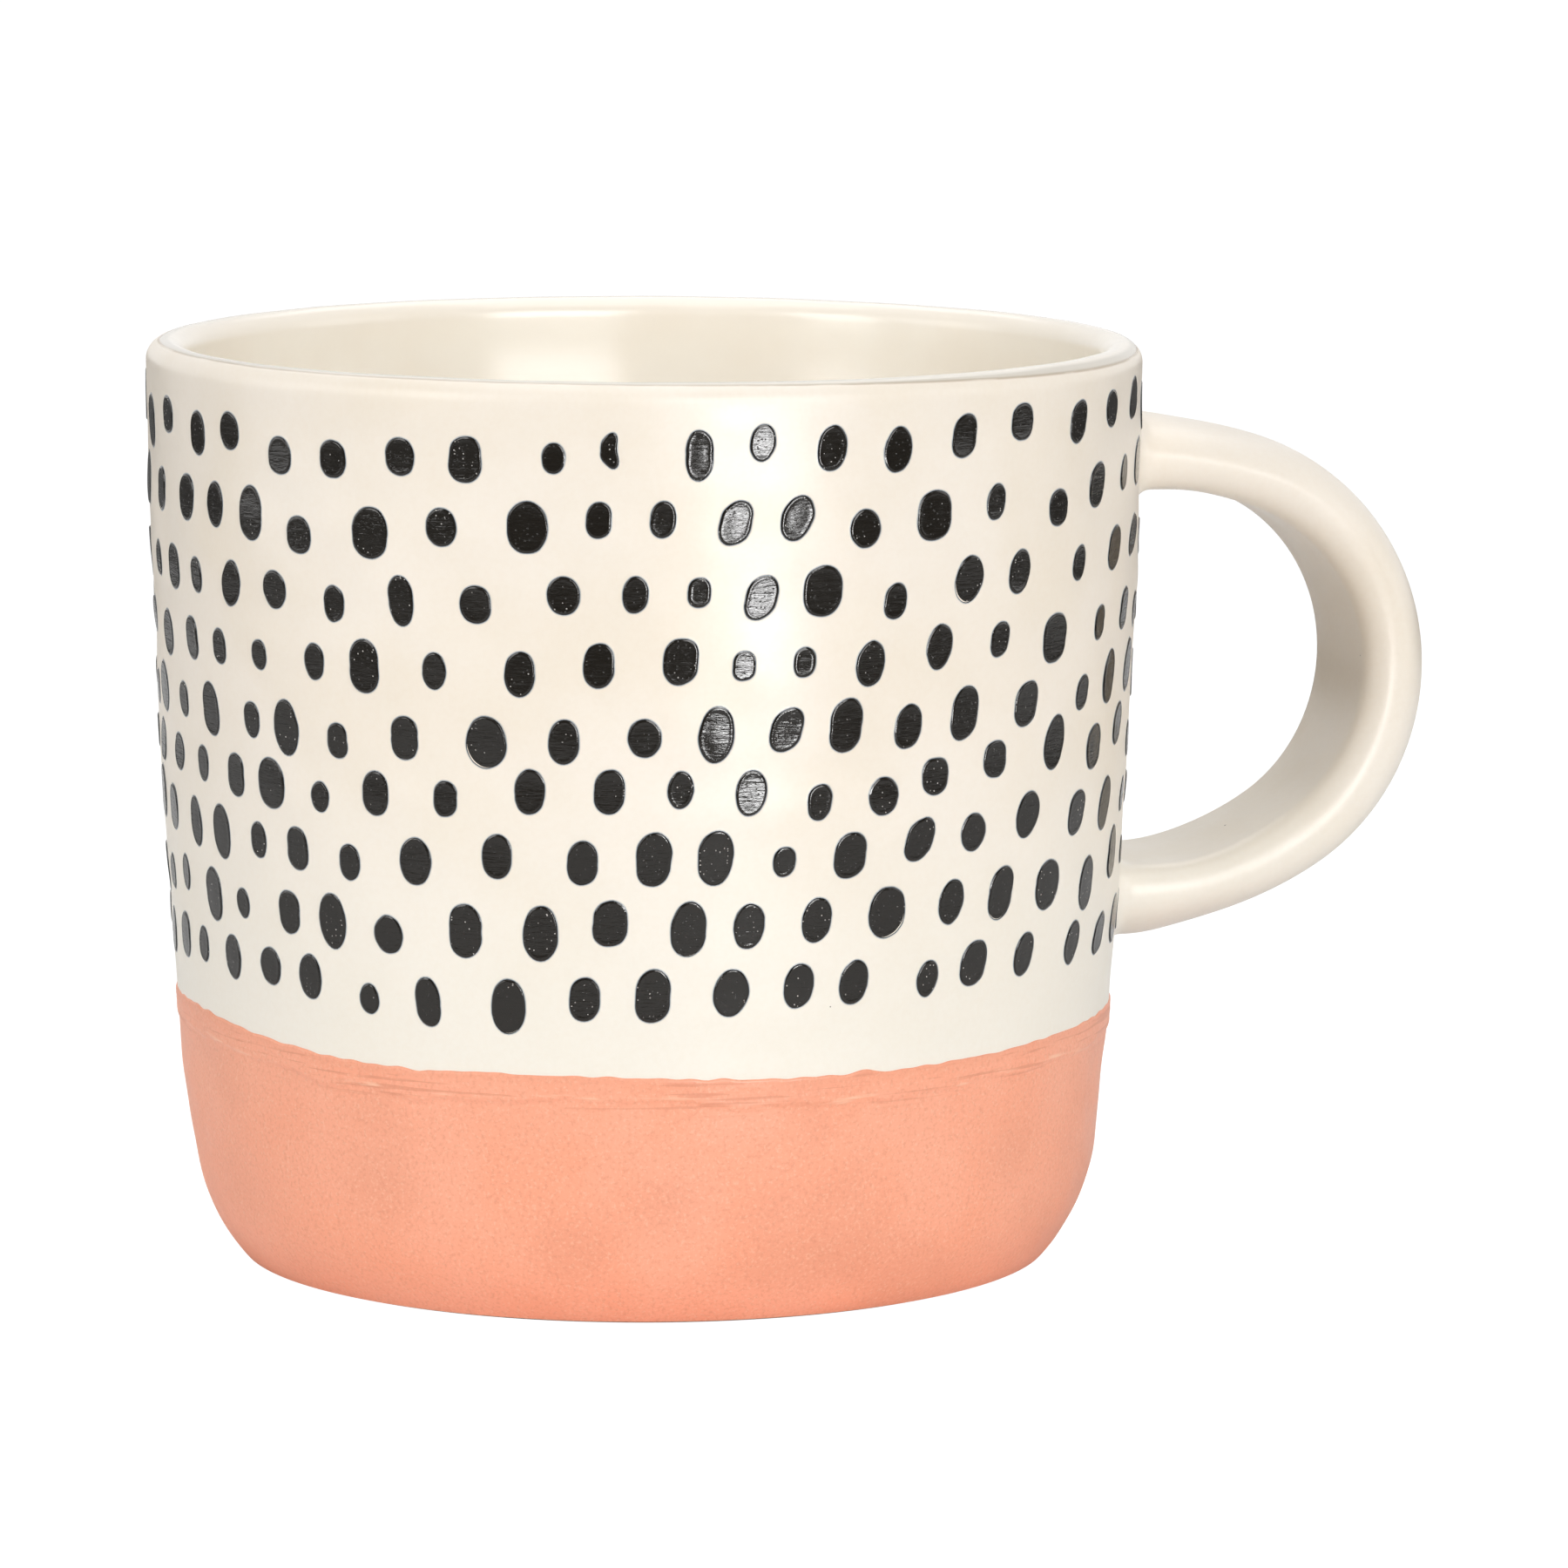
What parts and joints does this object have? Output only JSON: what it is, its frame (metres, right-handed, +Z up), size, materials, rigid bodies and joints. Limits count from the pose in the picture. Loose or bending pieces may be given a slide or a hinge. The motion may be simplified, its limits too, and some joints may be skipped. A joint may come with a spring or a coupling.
{
  "type": "mug",
  "caption": "Straight-sided stoneware mug with a looped side handle, cream satin glaze, rows of small raised black dots and a coral dipped band round the base.",
  "frame": {"origin": "centre of the foot ring, on the plane that the mug stands on", "axes": "+Z up through the mouth, +X out through the handle, +Y completes a right-handed frame"},
  "size_m": [0.1253, 0.0958, 0.088],
  "materials": {
    "stoneware": "matt, bare, fine-grained",
    "slip": "matt",
    "liner_glaze": "satin",
    "cream_glaze": "satin, faintly mottled",
    "coral_glaze": "satin, finely speckled",
    "black_glaze": "glossy, raised"
  },
  "bodies": {
    "root": {"mug_body": "stoneware", "handle": "stoneware", "upper_slip_joint": "slip", "lower_slip_joint": "slip", "liner_glaze": "liner_glaze", "outer_glaze": "cream_glaze", "handle_glaze": "cream_glaze", "coral_band": "coral_glaze", "dot_row_1": "black_glaze", "dot_row_2": "black_glaze", "dot_row_3": "black_glaze", "dot_row_4": "black_glaze", "dot_row_5": "black_glaze", "dot_row_6": "black_glaze", "dot_row_7": "black_glaze", "dot_row_8": "black_glaze", "dot_row_9": "black_glaze"}
  },
  "joints": []
}
